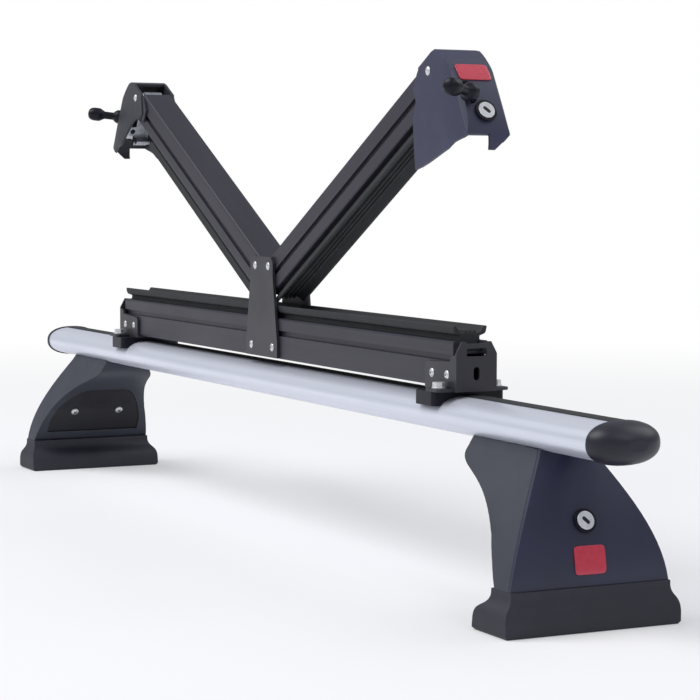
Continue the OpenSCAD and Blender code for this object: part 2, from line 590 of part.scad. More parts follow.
// Heads. The side wall at -Y is whole, and the side wall at +Y is cut away round the latch.
knee = 48;
face_path = concat([[head_reach - 24, arm_top], [head_reach - 18, arm_top - 1.2]],
    curve([head_reach - 13, arm_top - 5], [head_reach - 5, -9], [head_reach, -27], [head_reach, -knee], 9),
    [for (i = [1:8]) curve([head_reach, -knee], [head_reach, -knee - 16], [head_reach - 2, -tooth_drop + 9],
        [head_reach - 9, -tooth_drop], 8)[i]]);
module head_whole_side() polygon(concat([for (p = face_path) if (p[1] > -face_drop) p],
    [[head_reach - 6, -face_drop - 0.6], [head_reach - 20, -face_drop + 2]],
    curve([head_reach - 30, -face_drop + 2], [head_reach - 45, -face_drop + 5], [head_in + 15, -67],
          [head_in, -62], 6),
    [[head_in + 4, -50], [head_in + 9, -24], [head_in + 21, -8], [head_in + 33, arm_top]]));
module head_open_side() difference() {
    polygon(concat(face_path, [[head_reach - 12, -tooth_drop + 1.5], [head_reach - 16, -74]],
        curve([head_reach - 24, -62], [head_reach - 36, -56], [head_reach - 36, -30],
              [head_reach - 46, -19], 8),
        [[head_in + 26, -17], [head_in + 21, -8], [head_in + 33, arm_top]]));
}
module head_plan(inset) polygon(concat(
    [[head_in - 10, -head_d / 2 + inset]],
    curve([head_reach - 30, -head_d / 2 + inset], [head_reach - 18, -head_d / 2 + inset],
        [head_reach - 10, -head_face_d / 2 - 2 + inset], [head_reach - 3 - inset, -head_face_d / 2 + inset], 6),
    [[head_reach + 1, -head_face_d / 2 + 4 + inset], [head_reach + 1, head_face_d / 2 - 4 - inset]],
    mirror_y(curve([head_reach - 30, -head_d / 2 + inset], [head_reach - 18, -head_d / 2 + inset],
        [head_reach - 10, -head_face_d / 2 - 2 + inset], [head_reach - 3 - inset, -head_face_d / 2 + inset], 6)),
    [[head_in - 10, head_d / 2 - inset]]));
function mirror_y(path) = [for (p = reversed(path)) [p[0], -p[1]]];
module head_slab(inset) translate([0, 0, -100]) linear_extrude(130) head_plan(inset);
module head(side) color([0.22, 0.23, 0.29]) difference() {
    union() {
        intersection() {
            along_y(head_d + 2) polygon(band(face_path, head_wall));
            head_slab(0);
        }
        intersection() {
            difference() {
                head_slab(0);
                head_slab(head_wall);
            }
            union() {
                translate([0, -head_d / 2, 0]) along_y(head_d) head_whole_side();
                translate([0, head_d / 2, 0]) along_y(head_d) head_open_side();
            }
        }
        for (s = [-1, 1]) translate([0, s * (arm_w + head_d + 2 * fit - 2) / 4, 0])
            along_y(head_d / 2 - arm_w / 2 - fit - 1) polygon([[arm_l - 17, -14], [arm_l + 2, -14],
                [arm_l + 2, arm_top - 1], [arm_l - 4, arm_top - 1], [arm_l - 17, -1]]);
        for (s = [-1, 1]) translate([latch_s, s * (head_d / 2 - 3.6), -latch_drop]) y_pin(11, 5);
        translate([head_reach - 8, 0, -head_lock_drop]) rotate([0, 90, 0]) cylinder(d = barrel_d + 3.6, h = 6.6);
    }
    translate([head_reach - 10, 0, 0]) along_x(60) polygon([[4, -tooth_drop - 1], [head_d / 2 + 1, -face_drop + 3],
        [head_d / 2 + 1, -tooth_drop - 1]]);
    translate([0, head_face_d / 2 - 25, -face_drop - 20])
        translate([head_reach - 22, -head_d / 2 - 6, 0]) cube([40, head_d / 2 + 14, 20]);
    translate([latch_s, 0, -latch_drop]) y_pin(5 + 2 * running, head_d + 10);
    translate([arm_l - 12, 0, -6]) y_pin(5 + 2 * running, arm_w + 8);
    translate([head_reach - 20, 0, -head_lock_drop]) x_pin(barrel_d + 2 * fit, 40);
    for (up = [0, 7]) translate([head_reach - 20, side * knob_y, up - knob_drop]) x_pin(knob_stub_d + 5, 40);
    translate([head_reach, side * knob_y, 3.5 - knob_drop]) cube([40, knob_stub_d + 5, 7], center = true);
}
module head_pin() color([0.3, 0.3, 0.32]) translate([arm_l - 12, 0, -6]) y_pin(5, arm_w + 7.6);
module latch_pin() color([0.85, 0.85, 0.86]) translate([latch_s, 0, -latch_drop]) rivet(head_d, 5);

// The latch swings about its pin; its nose enters the slot of the end plate when the arm is shut.
module latch(side) color([0.78, 0.79, 0.8]) {
    nose_top = -nose_drop + keeper_h / 2 - 0.9;
    nose_bottom = -nose_drop - keeper_h / 2 + 0.7;
    difference() {
        union() {
            along_y(latch_w) polygon([[latch_s - 4, -latch_drop - hub_r + 2], [latch_s + 4.5, -latch_drop - 1],
                [blade_s + 4, -14], [blade_s + latch_t, -22], [blade_s + latch_t, nose_bottom - 2],
                [blade_s, nose_bottom - 4], [blade_s, nose_bottom], [blade_s - nose_l + 2.4, nose_bottom],
                [blade_s - nose_l, nose_bottom + 2],
                [blade_s - nose_l, nose_top], [blade_s, nose_top], [blade_s, -24],
                [blade_s - 4, -18]]);
            translate([latch_s, 0, -latch_drop]) y_pin(2 * hub_r, latch_w + 4);
            translate([blade_s + latch_t / 2, 0, -knob_drop]) along_x(latch_t) translate([side * knob_y / 2, 0])
                polygon(round_box(knob_y + 10, knob_root_d + 5, 3));
        }
        translate([latch_s, 0, -latch_drop]) y_pin(5 + 2 * running, latch_w + 8);
        translate([blade_s - 1, side * knob_y, -knob_drop]) x_pin(knob_root_d + 2 * running, latch_t + 2);
    }
}
spring_wire = 1.2;
spring_r = 4.4;
spring_turns = 4;
function coil_point(i, n) = let (a = 360 * spring_turns * i / n)
    [spring_r * cos(a), (spring_wire + 0.15) * spring_turns * i / n, spring_r * sin(a)];
module latch_spring() color([0.7, 0.7, 0.72]) translate([latch_s, latch_w / 2 + 2.8, -latch_drop]) {
    n = 14 * spring_turns;
    k = 6;
    loft([for (i = [0:n]) let (p = coil_point(i, n), a = 360 * spring_turns * i / n) [for (j = [0:k - 1])
        let (b = 360 * j / k) p + spring_wire / 2 * [cos(b) * cos(a), sin(b), cos(b) * sin(a)]]]);
}
knob_y = 10;
knob_stub_d = 8;
knob_root_d = 5;
knob_collar_d = 14;
knob_neck_d = 7.5;
knob_tip_d = 13;
// The knob: a stub through the head's face, then a stepped handle that leans to the side
module knob(side) color([0.07, 0.07, 0.08]) translate([0, side * knob_y, -knob_drop]) {
    translate([blade_s, 0, 0]) x_pin(knob_root_d, latch_t);
    translate([blade_s + latch_t, 0, 0]) x_pin(knob_stub_d, head_reach - blade_s - latch_t + 5);
    translate([head_reach + 5, 0, 0]) rotate([0, 0, side * knob_lean]) rotate([0, 90 + knob_droop, 0])
        rotate_extrude() polygon(concat([[0, -5], [knob_stub_d / 2, -4]],
            curve([knob_collar_d / 2, 1], [knob_collar_d / 2, 6], [knob_collar_d / 2, 7], [knob_neck_d / 2, 10], 6),
            [[knob_neck_d / 2, knob_l - 17]],
            curve([knob_tip_d / 2, knob_l - 12], [knob_tip_d / 2 + 0.6, knob_l - 4], [knob_tip_d / 2, knob_l],
                  [0, knob_l], 7)));
}
module head_barrel() color([0.8, 0.8, 0.83]) translate([head_reach + 0.6, 0, -head_lock_drop])
    rotate([0, 90, 0]) barrel(barrel_l);
module head_plug() color([0.62, 0.62, 0.65]) translate([head_reach + 0.6, 0, -head_lock_drop])
    rotate([0, 90, 0]) plug(barrel_l, 14);

crossbar();
end_cap();  // end_cap_near
far_end() end_cap();  // end_cap_far
slot_strip_near();
slot_strip_mid();
slot_strip_far();
foot_tower();  // foot_tower_near
foot_cover();  // foot_cover_near
foot_pad();  // foot_pad_near
foot_panel();  // foot_panel_near
foot_plug();  // foot_plug_near
far_end() foot_tower();  // foot_tower_far
far_end() foot_cover();  // foot_cover_far
far_end() foot_pad();  // foot_pad_far
far_end() foot_panel();  // foot_panel_far
far_end() foot_plug();  // foot_plug_far
foot_barrels();
foot_bolts();
foot_nuts();
panel_screws();
ski_rail();
rail_rubber();
end_bracket();  // end_bracket_near
far_end() end_bracket();  // end_bracket_far
saddle();  // saddle_near
far_end() saddle();  // saddle_far
end_rivets();
ear_bolts();
slot_bolts();
slot_nuts();
centre_plate_front();
centre_plate_rear();
plate_rivets();
pivot_pins();
near_arm() arm();  // arm_near
near_arm() arm_rubber();  // arm_rubber_near
near_arm() arm_bush();  // arm_bush_near
near_arm() head(-1);  // head_near
near_arm() head_pin();  // head_pin_near
near_arm() latch_pin();  // latch_pin_near
near_arm() latch(-1);  // latch_near
near_arm() latch_spring();  // latch_spring_near
near_arm() knob(-1);  // knob_near
near_arm() head_barrel();  // head_barrel_near
near_arm() head_plug();  // head_plug_near
far_arm() arm();  // arm_far
far_arm() arm_rubber();  // arm_rubber_far
far_arm() arm_bush();  // arm_bush_far
far_arm() head(1);  // head_far
far_arm() head_pin();  // head_pin_far
far_arm() latch_pin();  // latch_pin_far
far_arm() latch(1);  // latch_far
far_arm() latch_spring();  // latch_spring_far
far_arm() knob(1);  // knob_far
far_arm() head_barrel();  // head_barrel_far
far_arm() head_plug();  // head_plug_far
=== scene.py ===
"""The looks of the roof ski carrier: edges, finishes, badge plates, camera, floor and light."""
import json
import logging
import math
from dataclasses import dataclass, field
from enum import Enum
from typing import Callable

import bmesh
import bpy
from mathutils import Matrix, Vector
from mathutils.bvhtree import BVHTree


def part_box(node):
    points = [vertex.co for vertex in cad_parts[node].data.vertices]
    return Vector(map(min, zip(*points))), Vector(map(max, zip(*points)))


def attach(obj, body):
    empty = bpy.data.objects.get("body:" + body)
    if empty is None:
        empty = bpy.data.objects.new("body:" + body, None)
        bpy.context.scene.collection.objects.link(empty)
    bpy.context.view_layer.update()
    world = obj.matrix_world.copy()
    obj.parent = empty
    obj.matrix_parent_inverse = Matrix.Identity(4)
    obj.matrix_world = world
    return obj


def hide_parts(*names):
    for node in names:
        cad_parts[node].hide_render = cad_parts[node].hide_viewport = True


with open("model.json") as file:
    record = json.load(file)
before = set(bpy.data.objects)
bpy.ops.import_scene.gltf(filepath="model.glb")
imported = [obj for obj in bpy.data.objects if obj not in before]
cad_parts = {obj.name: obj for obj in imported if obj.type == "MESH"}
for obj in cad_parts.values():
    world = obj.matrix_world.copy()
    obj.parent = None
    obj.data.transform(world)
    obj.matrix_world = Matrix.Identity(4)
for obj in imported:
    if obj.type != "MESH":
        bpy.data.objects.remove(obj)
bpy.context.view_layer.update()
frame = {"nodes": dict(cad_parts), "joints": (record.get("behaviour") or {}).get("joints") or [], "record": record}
LOG = logging.getLogger("ski_carrier")
MM = 0.001
UP = Vector((0, 0, 1))
ARM_OPEN = math.radians(28.5)
MERGE_DISTANCE = 0.002 * MM
CUT_DISTANCE = 0.001 * MM
ON_PLANE = 0.01 * MM
FLAT_ANGLE = math.radians(0.4)
Stretch = tuple[float, float, float]
Range = tuple[float, float]


class End(Enum):
    """The two ends of the bar, and which way each lies along X."""

    NEAR = ("near", 1.0)
    FAR = ("far", -1.0)

    @property
    def word(self) -> str:
        """The end's name in a node."""
        return self.value[0]

    @property
    def side(self) -> float:
        """1 at the near end and -1 at the far end."""
        return self.value[1]


def joint(name: str) -> dict:
    """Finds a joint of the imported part.

    Args:
        name: The joint's name.

    Returns:
        The joint's entry in the record.
    """
    return next(j for j in frame["joints"] if j["name"] == name)


def linear(code: str) -> tuple[float, float, float, float]:
    """Turns a screen colour into the linear one that a shader takes.

    Args:
        code: Six hexadecimal digits.

    Returns:
        Red, green, blue and an alpha of 1.
    """
    shown = [int(code[i:i + 2], 16) / 255 for i in (0, 2, 4)]
    parts = [c / 12.92 if c < 0.04045 else ((c + 0.055) / 1.055) ** 2.4 for c in shown]
    return (*parts, 1.0)


class Wire:
    """A socket of a shader tree that works in sums and products."""

    def __init__(self, tree: "Tree", socket: bpy.types.NodeSocket) -> None:
        """Wraps a socket.

        Args:
            tree: The tree that the socket is in.
            socket: An output socket with a number.
        """
        self.tree = tree
        self.socket = socket

    def _maths(self, operation: str, other: "Wire | float") -> "Wire":
        """Adds a Math node.

        Args:
            operation: The node's operation.
            other: Its second value. The first is this socket.

        Returns:
            The node's output.
        """
        return self.tree.node("ShaderNodeMath", {"operation": operation}, {0: self, 1: other})[0]

    def __add__(self, other: "Wire | float") -> "Wire":
        """Adds two values."""
        return self._maths("ADD", other)

    def __sub__(self, other: "Wire | float") -> "Wire":
        """Takes the other value away."""
        return self._maths("SUBTRACT", other)

    def __mul__(self, other: "Wire | float") -> "Wire":
        """Multiplies two values."""
        return self._maths("MULTIPLY", other)

    def swing(self, middle: "Wire | float", width: float) -> "Wire":
        """Varies a value with this pattern.

        Args:
            middle: The value where the pattern is a half.
            width: How far the value goes from the pattern's 0 to its 1.

        Returns:
            The varied value.
        """
        return (self - 0.5) * width + middle

    def step(self, low: float, high: float) -> "Wire":
        """Rises smoothly from 0 at one value to 1 at another.

        Args:
            low: The value that gives 0.
            high: The value that gives 1.

        Returns:
            A value between 0 and 1.
        """
        ranges = {"interpolation_type": "SMOOTHSTEP"}
        values = {"Value": self, "From Min": low, "From Max": high}
        return self.tree.node("ShaderNodeMapRange", ranges, values)[0]


class Tree:
    """A shader tree that is filled from Python."""

    def __init__(self, name: str) -> None:
        """Makes a material with an empty tree.

        Args:
            name: The material's name.
        """
        self.material = bpy.data.materials.new(name)
        self.material.use_nodes = True
        self.nodes = self.material.node_tree.nodes
        self.links = self.material.node_tree.links
        self.nodes.clear()

    def node(self, kind: str, settings: dict | None = None, values: dict | None = None) -> list[Wire]:
        """Adds a node, with its settings made before its inputs.

        Args:
            kind: The node's type.
            settings: The node's own properties.
            values: Numbers, colours or wires, by the input's name or index.

        Returns:
            The node's enabled outputs.
        """
        made = self.nodes.new(kind)
        for name, value in (settings or {}).items():
            setattr(made, name, value)
        for name, value in (values or {}).items():
            socket = made.inputs[name]
            if isinstance(value, Wire):
                self.links.new(value.socket, socket)
            else:
                socket.default_value = value
        return [Wire(self, s) for s in made.outputs if s.enabled]

    def place(self, stretch: Stretch, turn: float) -> Wire:
        """Gives object coordinates, turned about Y and stretched.

        Args:
            stretch: How many pattern units there are to a metre, each way.
            turn: The turn about Y, in radians.

        Returns:
            A vector.
        """
        where = self.node("ShaderNodeTexCoord")[3]
        values = {"Vector": where, "Rotation": (0.0, turn, 0.0)}
        turned = self.node("ShaderNodeMapping", {}, values)[0]
        return self.node("ShaderNodeVectorMath", {"operation": "MULTIPLY"}, {0: turned, 1: stretch})[0]

    def noise(self, stretch: Stretch, detail: float = 3.0, turn: float = 0.0) -> Wire:
        """Adds a noise with a mean of about a half.

        Args:
            stretch: Lumps to a metre, each way.
            detail: The noise's detail.
            turn: A turn of the pattern about Y, in radians.

        Returns:
            A value between 0 and 1.
        """
        values = {"Vector": self.place(stretch, turn), "Scale": 1.0, "Detail": detail}
        return self.node("ShaderNodeTexNoise", {}, values)[0]

    def mix(self, amount: Wire, first: tuple, second: tuple) -> Wire:
        """Mixes two colours.

        Args:
            amount: How much there is of the second.
            first: A colour.
            second: A colour.

        Returns:
            The mixed colour.
        """
        values = {0: amount, 6: first, 7: second}
        return self.node("ShaderNodeMix", {"data_type": "RGBA"}, values)[0]

    def bump(self, height: Wire, depth: float) -> Wire:
        """Adds a bump.

        Args:
            height: The relief, from 0 to 1.
            depth: What a height of 1 stands for, in metres.

        Returns:
            The bumped normal.
        """
        values = {"Height": height, "Distance": depth, "Strength": 1.0}
        return self.node("ShaderNodeBump", {}, values)[0]

    def surface(self, **values: Wire | float | tuple) -> bpy.types.Material:
        """Ends the tree in one Principled surface.

        Args:
            **values: The surface's inputs, with an underscore for each space.

        Returns:
            The finished material.
        """
        named = {name.replace("_", " "): value for name, value in values.items()}
        shader = self.node("ShaderNodeBsdfPrincipled", {}, named)[0]
        self.node("ShaderNodeOutputMaterial", {}, {"Surface": shader})
        return self.material


def evenly(per_metre: float) -> Stretch:
    """The same stretch each way."""
    return (per_metre, per_metre, per_metre)


@dataclass(frozen=True)
class Drawn:
    """Drawn aluminium, with die lines along its length."""

    name: str
    colour: str
    line: str
    metallic: float
    roughness: float
    turn: float = 0.0
    line_depth: float = 0.012 * MM
    die_lines: Stretch = (4.0, 900.0, 900.0)
    clouds: Stretch = (9.0, 30.0, 30.0)
    line_share: float = 0.6
    contrast: Range = (0.3, 0.7)
    dulling: float = 0.12

    def material(self) -> bpy.types.Material:
        """Builds the finish.

        Returns:
            The finished material.
        """
        tree = Tree(self.name)
        lines = tree.noise(self.die_lines, 2.0, self.turn)
        clouds = tree.noise(self.clouds, 2.0, self.turn)
        shade = (lines * self.line_share + clouds * (1 - self.line_share)).step(*self.contrast)
        return tree.surface(
            Base_Color=tree.mix(shade, linear(self.colour), linear(self.line)),
            Metallic=self.metallic,
            Roughness=clouds.swing(self.roughness, self.dulling),
            Normal=tree.bump(lines, self.line_depth),
        )


@dataclass(frozen=True)
class Moulded:
    """Moulded plastic with a spark-eroded grain."""

    name: str
    colour: str
    worn: str
    roughness: float
    grain: float = 0.9 * MM
    depth: float = 0.035 * MM
    shine: float = 0.5
    patches: float = 24.0
    contrast: Range = (0.35, 0.75)
    wear_dulling: float = 0.1
    grain_dulling: float = 0.08

    def material(self) -> bpy.types.Material:
        """Builds the finish.

        Returns:
            The finished material.
        """
        tree = Tree(self.name)
        grain = tree.noise(evenly(1 / self.grain), 2.0)
        patches = tree.noise(evenly(self.patches))
        roughness = patches.swing(self.roughness, self.wear_dulling)
        return tree.surface(
            Base_Color=tree.mix(patches.step(*self.contrast), linear(self.colour), linear(self.worn)),
            Roughness=grain.swing(roughness, self.grain_dulling),
            Specular_IOR_Level=self.shine,
            Normal=tree.bump(grain, self.depth),
        )


@dataclass(frozen=True)
class Rubber:
    """Dull rubber with a fine bloom."""

    name: str
    colour: str
    bloom: str
    roughness: float = 0.72
    pores: float = 1400.0
    pore_depth: float = 0.03 * MM
    blooms: float = 38.0
    contrast: Range = (0.42, 0.8)
    dulling: float = 0.12

    def material(self) -> bpy.types.Material:
        """Builds the finish.

        Returns:
            The finished material.
        """
        tree = Tree(self.name)
        pores = tree.noise(evenly(self.pores), 2.0)
        bloom = tree.noise(evenly(self.blooms), 4.0)
        return tree.surface(
            Base_Color=tree.mix(bloom.step(*self.contrast), linear(self.colour), linear(self.bloom)),
            Roughness=bloom.swing(self.roughness, self.dulling),
            Normal=tree.bump(pores, self.pore_depth),
        )


@dataclass(frozen=True)
class Metal:
    """Bare or plated metal with a fine skin."""

    name: str
    colour: str
    dull: str
    roughness: float
    skin: float = 0.6 * MM
    depth: float = 0.01 * MM
    metallic: float = 1.0
    spots: float = 180.0
    contrast: Range = (0.4, 0.75)
    dulling: float = 0.16

    def material(self) -> bpy.types.Material:
        """Builds the finish.

        Returns:
            The finished material.
        """
        tree = Tree(self.name)
        skin = tree.noise(evenly(1 / self.skin))
        spots = tree.noise(evenly(self.spots))
        return tree.surface(
            Base_Color=tree.mix(spots.step(*self.contrast), linear(self.colour), linear(self.dull)),
            Metallic=self.metallic,
            Roughness=spots.swing(self.roughness, self.dulling),
            Normal=tree.bump(skin, self.depth),
        )


@dataclass(frozen=True)
class Enamel:
    """A small plain plate under a clear coat."""

    name: str
    colour: str
    deep: str
    roughness: float = 0.42
    clouds: float = 300.0
    contrast: Range = (0.35, 0.7)
    dulling: float = 0.1
    coat: float = 0.5
    depth: float = 0.01 * MM

    def material(self) -> bpy.types.Material:
        """Builds the finish.

        Returns:
            The finished material.
        """
        tree = Tree(self.name)
        clouds = tree.noise(evenly(self.clouds), 2.0)
        return tree.surface(
            Base_Color=tree.mix(clouds.step(*self.contrast), linear(self.colour), linear(self.deep)),
            Roughness=clouds.swing(self.roughness, self.dulling),
            Coat_Weight=self.coat,
            Normal=tree.bump(clouds, self.depth),
        )


class Finishes:
    """Every finish of the object, each built once."""

    def __init__(self) -> None:
        """Builds the finishes."""
        self.bar = Drawn("bar_anodised", "dfe3ef", "d8dce9", 0.45, 0.36).material()
        self.rail = Drawn("rail_coated", "34323e", "2e2c37", 0.25, 0.44).material()
        self.arm = {
            End.NEAR: Drawn("arm_near_coated", "34323e", "2e2c37", 0.25, 0.44, ARM_OPEN).material(),
            End.FAR: Drawn("arm_far_coated", "34323e", "2e2c37", 0.25, 0.44, -ARM_OPEN).material(),
        }
        self.bracket = Moulded("bracket_coated", "2e2d36", "26262e", 0.42, 1.6 * MM, 0.02 * MM).material()
        self.rubber = Rubber("lining_rubber", "202226", "2b2d31").material()
        self.pad = Rubber("pad_rubber", "262632", "2e2e3a", 0.62).material()
        self.tower = Moulded("tower_plastic", "363a46", "30333f", 0.5).material()
        self.cover = Moulded("cover_plastic", "282b45", "22253b", 0.42, 0.7 * MM, 0.02 * MM).material()
        # Both heads are one plastic: the near head keeps the lit navy, and the far head's darker, greyer copy is
        # painted shade
        self.head = {
            End.NEAR: Moulded("head_near_plastic", "353852", "2e3148", 0.46).material(),
            End.FAR: Moulded("head_far_plastic_painted_shade", "303139", "292a32", 0.46).material(),
        }
        self.cap = Moulded("cap_plastic", "292936", "22222d", 0.4, 0.9 * MM, 0.02 * MM, 0.35).material()
        self.trim = Moulded("trim_plastic", "11111b", "171724", 0.34, 0.9 * MM, 0.02 * MM, 0.2).material()
        self.panel = Moulded("panel_plastic", "15151d", "1b1b24", 0.5).material()
        # Near-black painted shade that stands for the shadow inside the lock plugs' keyways
        self.recess = Moulded("keyway_painted_shade", "08080b", "0c0c10", 0.6).material()
        self.steel = Metal("plated_steel", "dddee1", "c4c5c8", 0.3, metallic=0.55).material()
        self.zinc = Metal("cast_zinc", "b4b7be", "999ca3", 0.38, 0.5 * MM, 0.02 * MM).material()
        self.lock = Metal("satin_chrome", "e6e8ec", "d2d4d9", 0.24, metallic=0.4).material()
        # Darker steel for marks in fastener heads: the mandrel stubs' own steel, and painted shade in the cross
        # recesses
        self.mark = Metal("mark_steel_and_recess_shade", "5c5d62", "4a4b50", 0.4).material()
        self.bush = Moulded("nylon", "c9c8c0", "bab9b0", 0.4).material()
        self.plate = Enamel("red_plate", "c62a45", "be2641").material()


def body_of(node: str) -> str:
    """The body that a CAD node rides on."""
    groups = frame["record"]["behaviour"]["bodies"]
    return next(body for body, members in groups.items() if node in members)


def piece(name: str, made: bmesh.types.BMesh, finish: bpy.types.Material) -> bpy.types.Object:
    """Turns a bmesh into an object at the origin.

    Args:
        name: The object's name.
        made: The shape, in the shared frame. It is freed.
        finish: The object's material.

    Returns:
        The object.
    """
    mesh = bpy.data.meshes.new(name)
    for face in made.faces:
        face.smooth = True
    made.to_mesh(mesh)
    made.free()
    mesh.materials.append(finish)
    thing = bpy.data.objects.new(name, mesh)
    bpy.context.scene.collection.objects.link(thing)
    return thing


def soften(thing: bpy.types.Object, width: float, segments: int = 2, angle: float = 32.0) -> None:
    """Rounds an object's edges and evens its shading.

    Args:
        thing: The object.
        width: The width of the rounding, in metres.
        segments: Steps across the rounding.
        angle: The least angle of an edge that is rounded, in degrees.
    """
    bevel = thing.modifiers.new("edges", "BEVEL")
    bevel.width = width
    bevel.segments = segments
    bevel.limit_method = "ANGLE"
    bevel.angle_limit = math.radians(angle)
    bevel.use_clamp_overlap = True
    bevel.miter_outer = "MITER_ARC"
    shade = thing.modifiers.new("shade", "WEIGHTED_NORMAL")
    shade.mode = "FACE_AREA"
    shade.weight = 80
    shade.keep_sharp = True


def merged_copy(node: str) -> bmesh.types.BMesh:
    """Copies a CAD node's mesh, merges its loose triangles and clears its flat faces.

    Args:
        node: The node.

    Returns:
        The copy.
    """
    made = bmesh.new()
    made.from_mesh(frame["nodes"][node].data)
    bmesh.ops.remove_doubles(made, verts=made.verts, dist=MERGE_DISTANCE)
    bmesh.ops.dissolve_limit(
        made, angle_limit=FLAT_ANGLE, use_dissolve_boundaries=False,
        verts=made.verts, edges=made.edges, delimit=set(),
    )
    return made


def dressed(node: str, finish: bpy.types.Material, edge: float = 0.4 * MM,
            draw: Callable[[bmesh.types.BMesh], None] | None = None) -> bpy.types.Object:
    """Gives a CAD node rounded edges and a finish, on a piece that stands for it.

    Args:
        node: The node.
        finish: Its material.
        edge: The width of its rounded edges, in metres.
        draw: Draws the copied mesh to another outline.

    Returns:
        The piece.
    """
    made = merged_copy(node)
    if draw is not None:
        draw(made)
    thing = piece(node + "_finished", made, finish)
    soften(thing, edge)
    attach(thing, body_of(node))
    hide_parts(node)
    LOG.info("%s dressed", node)
    return thing


def cut(made: bmesh.types.BMesh, planes: list[tuple[Vector, Vector]]) -> None:
    """Cuts a mesh's faces at planes, so that its outline can bend there.

    Args:
        made: The mesh.
        planes: A point and the normal of each plane.
    """
    for place, normal in planes:
        geometry = [*made.verts, *made.edges, *made.faces]
        bmesh.ops.bisect_plane(made, geom=geometry, dist=CUT_DISTANCE, plane_co=place, plane_no=normal)


def islands(made: bmesh.types.BMesh) -> list[list[bmesh.types.BMVert]]:
    """Sorts a mesh's points into its separate solids.

    Args:
        made: The mesh.

    Returns:
        Each solid's points.
    """
    left, groups = set(made.verts), []
    while left:
        front, group = [left.pop()], []
        while front:
            vert = front.pop()
            group.append(vert)
            near = {edge.other_vert(vert) for edge in vert.link_edges} & left
            left -= near
            front += near
        groups.append(group)
    return groups


def between(rows: list | tuple, height: float) -> tuple[float, ...]:
    """Reads a table of heights and values at any height.

    Args:
        rows: Rows of a height and its values, from the lowest up.
        height: The height that is asked for.

    Returns:
        The values there, kept at the ends beyond the table.
    """
    if height <= rows[0][0]:
        return rows[0][1:]
    for low, high in zip(rows, rows[1:]):
        if height <= high[0]:
            part = (height - low[0]) / (high[0] - low[0])
            return tuple(a + (b - a) * part for a, b in zip(low[1:], high[1:]))
    return rows[-1][1:]


def bezier(points: tuple[tuple[float, float], ...], steps: int) -> list[tuple[float, float]]:
    """Runs along a cubic curve.

    Args:
        points: The curve's start, its two handles and its end.
        steps: The number of steps.

    Returns:
        The points on the curve.
    """
    path = []
    for step in range(steps + 1):
        t = step / steps
        shares = ((1 - t) ** 3, 3 * t * (1 - t) ** 2, 3 * t * t * (1 - t), t ** 3)
        path.append(tuple(sum(s * p[i] for s, p in zip(shares, points)) for i in (0, 1)))
    return path


@dataclass(frozen=True)
class InnerOutline:
    """A foot's inner outline as points of height and X, in millimetres: shin, nose and brow."""

    shin: tuple[tuple[float, float], ...]
    nose: tuple[tuple[float, float], ...]
    brow: tuple[tuple[float, float], ...]
    steps: int = 60

    def rows(self) -> list[tuple[float, float]]:
        """Gives the outline from the seam up, in metres, with the nose as a cubic curve."""
        points = sorted([*self.shin, *bezier(self.nose, self.steps), *self.brow])
        return [(height * MM, reach * MM) for height, reach in points]


class FootShape:
    """The photograph's inner outline of a foot: a small nose under the bar over a shallow arch.

    The solids have a deeper nose. What lies between a foot's inner and outer outline keeps its place
    in proportion, and the outer face stays where it is.
    """

    seam: float = 31 * MM
    slice_step: float = 2 * MM
    pad_draw: tuple[tuple[float, float], ...] = ((0.0, 4 * MM), (31.0 * MM, 8 * MM))
    in_solids = InnerOutline(
        shin=((31.0, 485), (47.8, 473)),
        nose=((64.5, 460), (92.5, 436), (82.2, 389), (103.7, 386)),
        brow=((114.9, 387), (126.2, 392)),
    )
    in_photo = InnerOutline(
        shin=((31.0, 493), (47.8, 483)),
        nose=((64.5, 471), (102.0, 434), (100.0, 389), (113.0, 385.5)),
        brow=((118.6, 385.5), (126.2, 387)),
    )

    def __init__(self, end: End) -> None:
        """Measures the solid tower's outer outline, slice by slice.

        Args:
            end: The foot's end of the bar.
        """
        tower = merged_copy(f"foot_tower_{end.word}")
        top = max(v.co.z for v in tower.verts)
        slices = int((top - self.seam) / self.slice_step)
        heights = [self.seam + self.slice_step * i for i in range(slices)]
        self.planes = [(Vector((0, 0, height)), UP) for height in heights]
        cut(tower, self.planes)
        self.outer = []
        for height in heights:
            reach = [abs(v.co.x) for v in tower.verts if abs(v.co.z - height) < ON_PLANE]
            self.outer.append((height, max(reach)))
        tower.free()
        self.solid, self.drawn = self.in_solids.rows(), self.in_photo.rows()

    def _shifted(self, place: Vector) -> float:
        """Where a point of the foot goes along X.

        Args:
            place: The point.

        Returns:
            Its new X.
        """
        inner, wanted, outer = (between(rows, place.z)[0] for rows in (self.solid, self.drawn, self.outer))
        share = (outer - abs(place.x)) / (outer - inner)
        return math.copysign(outer - share * (outer - wanted), place.x)

    def draw(self, made: bmesh.types.BMesh) -> None:
        """Draws the tower to the outline.

        Args:
            made: The tower's mesh.
        """
        cut(made, self.planes)
        self.draw_panel(made)

    def draw_panel(self, made: bmesh.types.BMesh) -> None:
        """Draws a mesh to the outline at its own points.

        Args:
            made: The mesh of the inner panel, or one that has been sliced.
        """
        for vert in made.verts:
            vert.co.x = self._shifted(vert.co)

    def draw_pad(self, made: bmesh.types.BMesh) -> None:
        """Draws the pad in on its inner side, so that it meets the tower at the seam.

        Args:
            made: The pad's mesh.
        """
        reach = [abs(v.co.x) for v in made.verts]
        inner, outer = min(reach), max(reach)
        for vert in made.verts:
            share = (outer - abs(vert.co.x)) / (outer - inner)
            shift = between(self.pad_draw, vert.co.z)[0] * share
            vert.co.x = math.copysign(abs(vert.co.x) + shift, vert.co.x)

    def slide(self, group: list[bmesh.types.BMVert]) -> None:
        """Moves a small solid with the moulding that it sits in.

        Args:
            group: The solid's points.
        """
        middle = sum((v.co for v in group), Vector()) / len(group)
        shift = self._shifted(middle) - middle.x
        for vert in group:
            vert.co.x += shift


